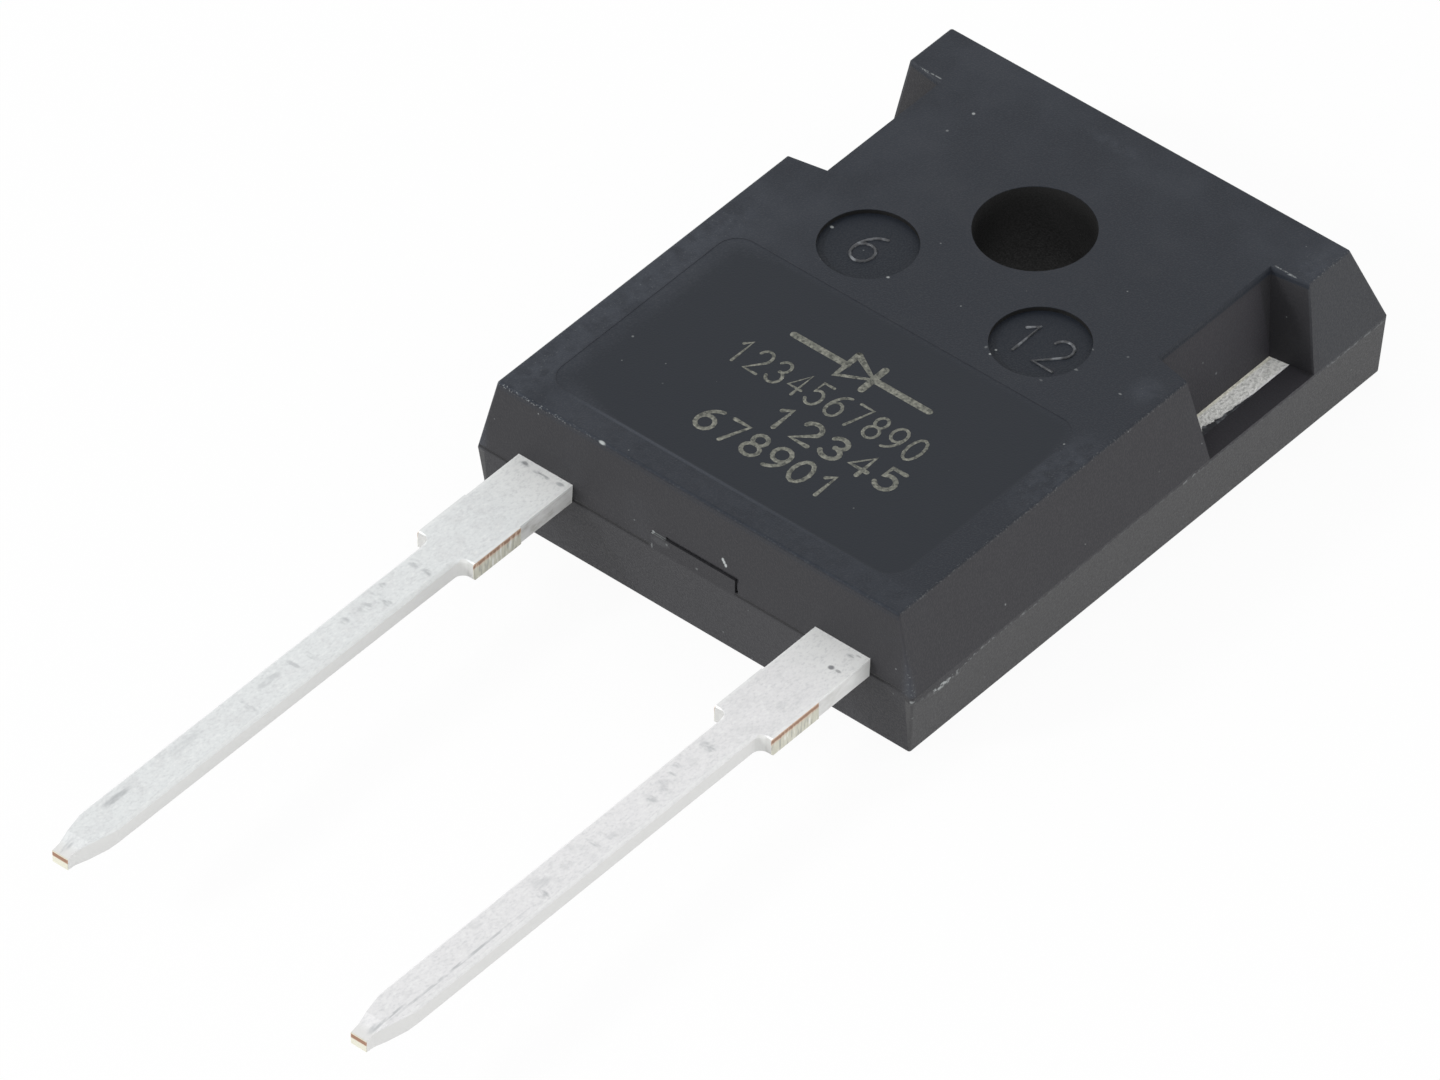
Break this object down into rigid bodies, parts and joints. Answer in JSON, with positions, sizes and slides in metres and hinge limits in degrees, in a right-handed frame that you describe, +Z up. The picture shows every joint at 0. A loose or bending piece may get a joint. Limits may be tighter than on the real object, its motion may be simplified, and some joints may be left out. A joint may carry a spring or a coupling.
{
  "type": "rectifier diode",
  "caption": "Flat black moulded power rectifier diode with a screw hole, side notches, a metal heat spreader on the back and straight tinned leads.",
  "frame": {"origin": "on the axis of the mounting hole, in the seating plane of the back", "axes": "+Z up out of the marked face along the mounting hole, +Y towards the screw end, the leads run to -Y, +X to the anode lead's side"},
  "size_m": [0.016, 0.0409, 0.005],
  "materials": {
    "black_epoxy": "fine spark-eroded matte, polished label field",
    "tinned_copper": "satin matte tin plating over copper",
    "solder": "dull soft solder",
    "silicon": "metallised silicon",
    "wire_aluminium": "drawn"
  },
  "bodies": {
    "root": {"moulded_body": "black_epoxy", "heat_spreader": "tinned_copper", "anode_lead": "tinned_copper", "die_solder": "solder", "diode_chip": "silicon", "bond_wire_1": "wire_aluminium", "bond_wire_2": "wire_aluminium", "bond_wire_3": "wire_aluminium"}
  },
  "joints": []
}
